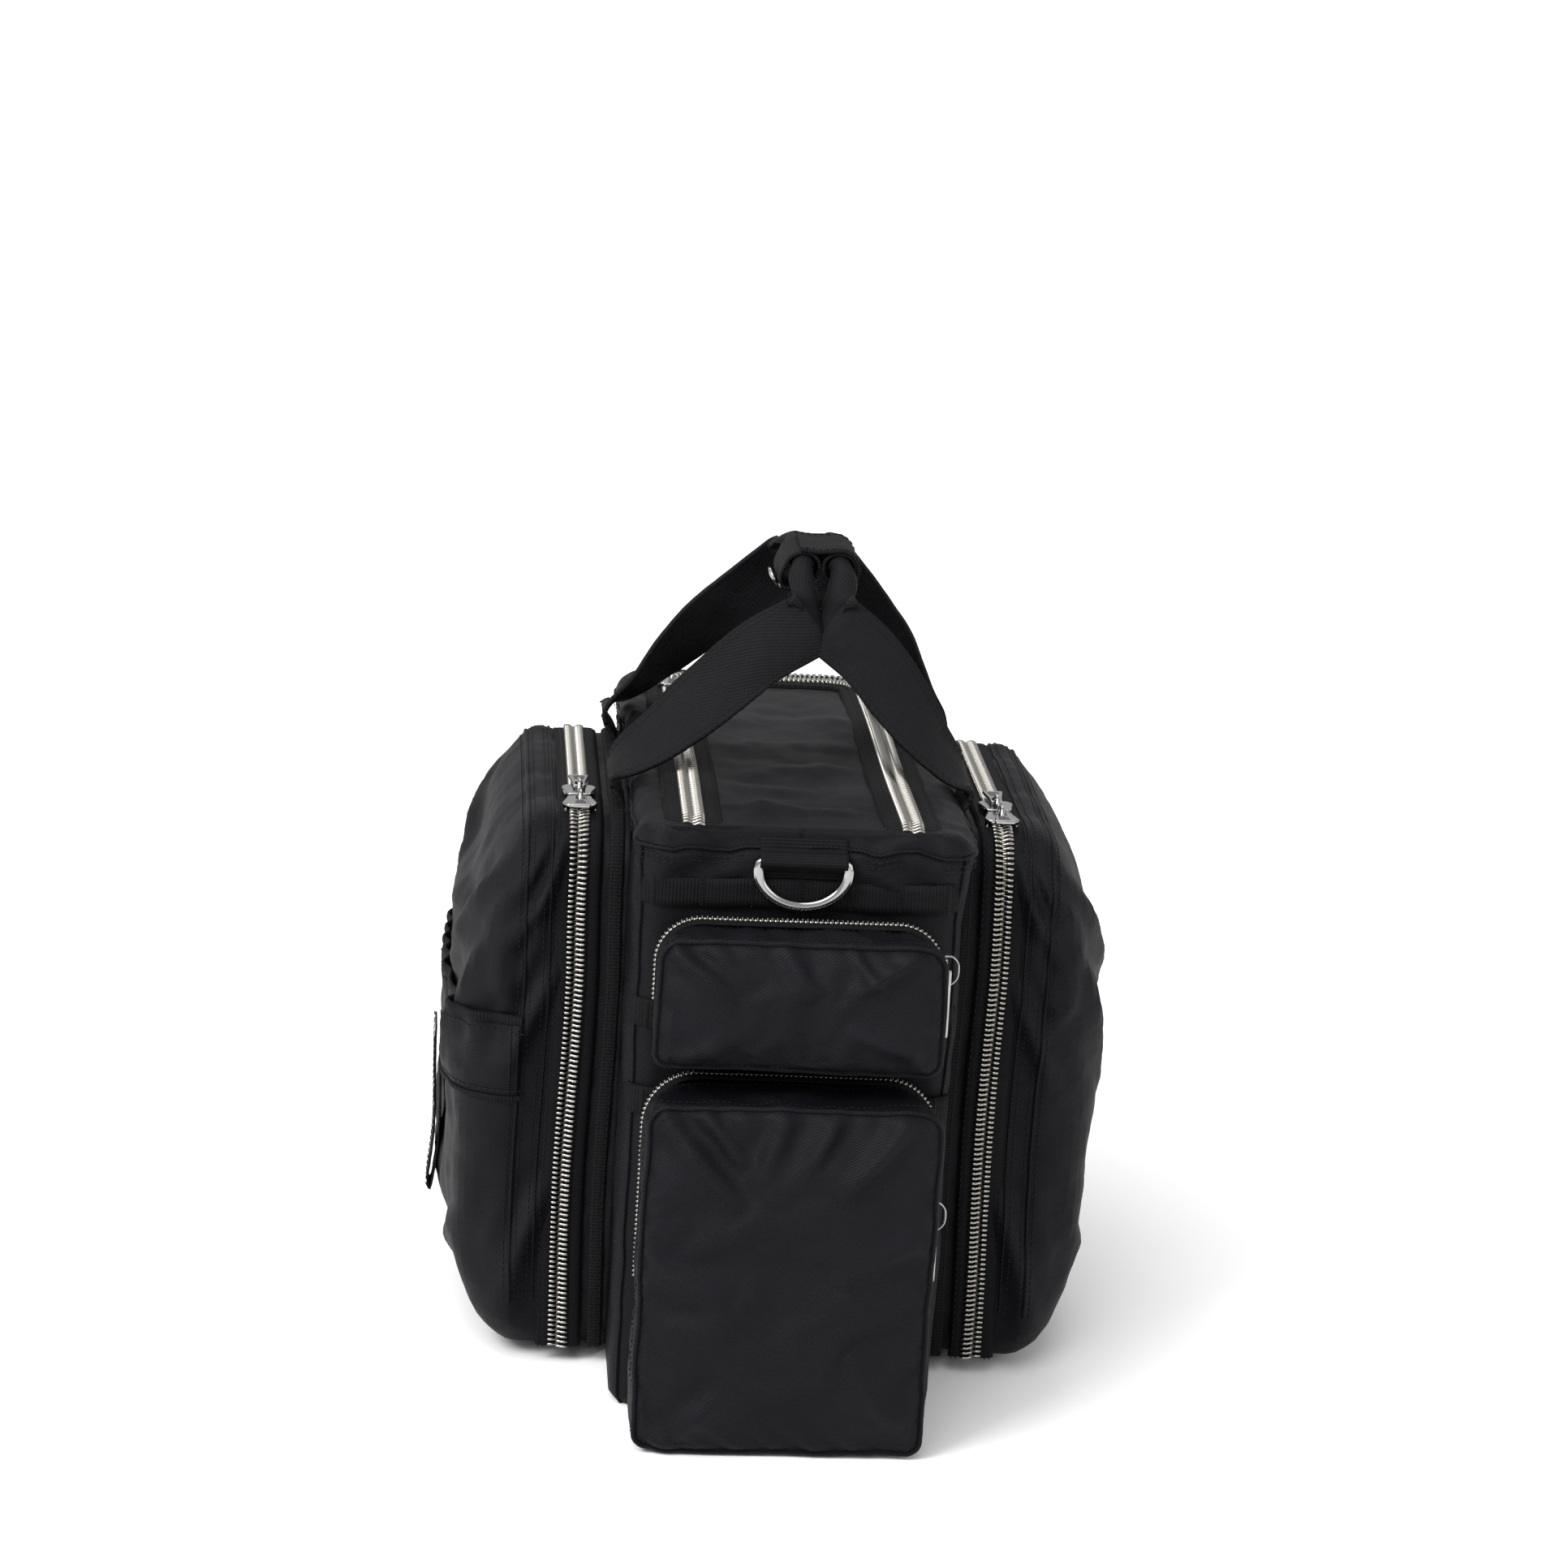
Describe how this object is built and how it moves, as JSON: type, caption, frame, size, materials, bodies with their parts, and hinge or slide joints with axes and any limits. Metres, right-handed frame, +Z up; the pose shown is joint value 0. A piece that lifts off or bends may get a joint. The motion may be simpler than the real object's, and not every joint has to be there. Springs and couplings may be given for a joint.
{
  "type": "flight bag",
  "caption": "Compact soft flight bag with zipped top flap, side pockets, end pouches, D-rings and two webbing handles joined by a wrap.",
  "frame": {"origin": "centre of the main body's base, on the surface the bag stands on", "axes": "+Z up, +X to the right when facing the end with the two pouches, -Y towards that end"},
  "size_m": [0.2817, 0.334, 0.3594],
  "materials": {
    "nylon": "black twill weave with a low sheen",
    "webbing": "black ribbed webbing",
    "teeth": "polished nickel zip teeth",
    "hardware": "polished nickel",
    "board": "moulded sheet"
  },
  "bodies": {
    "body": {"body_wrap": "nylon", "front_panel": "nylon", "rear_panel": "nylon", "base_board": "board", "webbing_rows": "webbing", "top_frame": "nylon", "top_zip_frame_teeth": "teeth", "strap_anchors": "webbing", "front_ring_tab": "webbing", "rear_ring_tab": "webbing", "left_pocket_base": "nylon", "left_pocket_gusset": "nylon", "left_pocket_binding": "webbing", "left_zip_inner_teeth": "teeth", "right_pocket_base": "nylon", "right_pocket_gusset": "nylon", "right_pocket_binding": "webbing", "right_zip_inner_teeth": "teeth", "upper_pouch_back": "nylon", "upper_pouch_base": "nylon", "upper_pouch_gusset": "nylon", "upper_zip_back_teeth": "teeth", "lower_pouch_back": "nylon", "lower_pouch_base": "nylon", "lower_pouch_gusset": "nylon", "lower_zip_back_teeth": "teeth"},
    "flap": {"flap_panel": "nylon", "top_zip_flap_teeth": "teeth"},
    "top_slider": {"top_slider": "hardware"},
    "top_pull": {"top_pull": "hardware"},
    "left_pocket": {"left_pocket_cover": "nylon", "left_zip_outer_teeth": "teeth", "left_pocket_band": "webbing"},
    "right_pocket": {"right_pocket_cover": "nylon", "right_zip_outer_teeth": "teeth"},
    "hanging_loop": {"hanging_loop": "webbing"},
    "upper_pouch": {"upper_pouch_cover": "nylon", "upper_zip_front_teeth": "teeth"},
    "lower_pouch": {"lower_pouch_cover": "nylon", "lower_zip_front_teeth": "teeth"},
    "left_handle": {"left_handle": "webbing", "left_wrap": "webbing", "snap_cap": "hardware"},
    "right_handle": {"right_handle": "webbing", "right_wrap": "webbing"},
    "wrap_tongue": {"wrap_tongue": "webbing"},
    "front_ring": {"front_d_ring": "hardware"},
    "rear_ring": {"rear_d_ring": "hardware"},
    "left_front_slider": {"left_front_slider": "hardware"},
    "left_front_pull": {"left_front_pull": "hardware"},
    "left_rear_slider": {"left_rear_slider": "hardware"},
    "left_rear_pull": {"left_rear_pull": "hardware"},
    "right_front_slider": {"right_front_slider": "hardware"},
    "right_front_pull": {"right_front_pull": "hardware"},
    "right_rear_slider": {"right_rear_slider": "hardware"},
    "right_rear_pull": {"right_rear_pull": "hardware"},
    "upper_slider": {"upper_slider": "hardware"},
    "upper_pull": {"upper_pull": "hardware"},
    "lower_slider": {"lower_slider": "hardware"},
    "lower_pull": {"lower_pull": "hardware"}
  },
  "joints": [
    {"name": "left_handle_swing", "type": "hinge", "parent": "body", "child": "left_handle", "pos_m": [-0.078, 0, 0.2566], "axis": [0, -1, 0], "range_deg": [0, 60]},
    {"name": "right_handle_swing", "type": "hinge", "parent": "body", "child": "right_handle", "pos_m": [0.078, 0, 0.2566], "axis": [0, 1, 0], "range_deg": [0, 60]},
    {"name": "flap_lift", "type": "hinge", "parent": "body", "child": "flap", "pos_m": [0, -0.133, 0.2645], "axis": [1, 0, 0], "range_deg": [0, 30]},
    {"name": "tongue_lift", "type": "hinge", "parent": "left_handle", "child": "wrap_tongue", "pos_m": [-0.002, 0, 0.358], "axis": [0, -1, 0], "range_deg": [0, 120]},
    {"name": "top_slider_run", "type": "slide", "parent": "flap", "child": "top_slider", "axis": [0, -1, 0], "range_m": [0, 0.215]},
    {"name": "top_pull_swing", "type": "hinge", "parent": "top_slider", "child": "top_pull", "pos_m": [-0.046, 0.102, 0.2679], "axis": [-1, 0, 0], "range_deg": [0, 160]},
    {"name": "left_pocket_open", "type": "hinge", "parent": "body", "child": "left_pocket", "pos_m": [-0.138, 0, 0.0262], "axis": [0, -1, 0], "range_deg": [0, 75]},
    {"name": "left_front_slider_run", "type": "hinge", "parent": "body", "child": "left_front_slider", "pos_m": [-0.092, -0.064, 0.223], "axis": [1, 0, 0], "range_deg": [0, 90]},
    {"name": "left_rear_slider_run", "type": "slide", "parent": "body", "child": "left_rear_slider", "axis": [0, 1, 0], "range_m": [0, 0.112]},
    {"name": "left_front_pull_swing", "type": "hinge", "parent": "left_front_slider", "child": "left_front_pull", "pos_m": [-0.092, -0.064, 0.2529], "axis": [-1, 0, 0], "range_deg": [0, 110]},
    {"name": "left_rear_pull_swing", "type": "hinge", "parent": "left_rear_slider", "child": "left_rear_pull", "pos_m": [-0.092, -0.046, 0.2529], "axis": [1, 0, 0], "range_deg": [0, 110]},
    {"name": "right_pocket_open", "type": "hinge", "parent": "body", "child": "right_pocket", "pos_m": [0.138, 0, 0.0262], "axis": [0, 1, 0], "range_deg": [0, 75]},
    {"name": "right_front_slider_run", "type": "hinge", "parent": "body", "child": "right_front_slider", "pos_m": [0.092, -0.064, 0.223], "axis": [1, 0, 0], "range_deg": [0, 90]},
    {"name": "right_rear_slider_run", "type": "slide", "parent": "body", "child": "right_rear_slider", "axis": [0, 1, 0], "range_m": [0, 0.112]},
    {"name": "right_front_pull_swing", "type": "hinge", "parent": "right_front_slider", "child": "right_front_pull", "pos_m": [0.092, -0.064, 0.2529], "axis": [-1, 0, 0], "range_deg": [0, 110]},
    {"name": "right_rear_pull_swing", "type": "hinge", "parent": "right_rear_slider", "child": "right_rear_pull", "pos_m": [0.092, -0.046, 0.2529], "axis": [1, 0, 0], "range_deg": [0, 110]},
    {"name": "loop_swing", "type": "hinge", "parent": "left_pocket", "child": "hanging_loop", "pos_m": [-0.1422, 0, 0.1305], "axis": [0, 1, 0], "range_deg": [0, 20]},
    {"name": "upper_pouch_open", "type": "hinge", "parent": "body", "child": "upper_pouch", "pos_m": [0, -0.175, 0.1902], "axis": [1, 0, 0], "range_deg": [0, 40]},
    {"name": "lower_pouch_open", "type": "hinge", "parent": "body", "child": "lower_pouch", "pos_m": [0, -0.186, 0.0662], "axis": [1, 0, 0], "range_deg": [0, 40]},
    {"name": "upper_slider_run", "type": "hinge", "parent": "body", "child": "upper_slider", "pos_m": [0.041, -0.1485, 0.207], "axis": [0, -1, 0], "range_deg": [0, 85]},
    {"name": "lower_slider_run", "type": "slide", "parent": "body", "child": "lower_slider", "axis": [0, 0, 1], "range_m": [-0.022, 0.034]},
    {"name": "upper_pull_swing", "type": "hinge", "parent": "upper_slider", "child": "upper_pull", "pos_m": [0.0635, -0.1485, 0.207], "axis": [0, -1, 0], "range_deg": [0, 150]},
    {"name": "lower_pull_swing", "type": "hinge", "parent": "lower_slider", "child": "lower_pull", "pos_m": [0.0655, -0.1485, 0.097], "axis": [0, -1, 0], "range_deg": [0, 150]},
    {"name": "front_ring_swing", "type": "hinge", "parent": "body", "child": "front_ring", "pos_m": [0, -0.1432, 0.25], "axis": [-1, 0, 0], "range_deg": [0, 140]},
    {"name": "rear_ring_swing", "type": "hinge", "parent": "body", "child": "rear_ring", "pos_m": [0, 0.1432, 0.25], "axis": [1, 0, 0], "range_deg": [0, 140]}
  ],
  "couplings": [
    {"joint": "right_handle_swing", "follows": "left_handle_swing", "ratio": 1},
    {"joint": "flap_lift", "follows": "left_handle_swing", "ratio": 0.5}
  ]
}
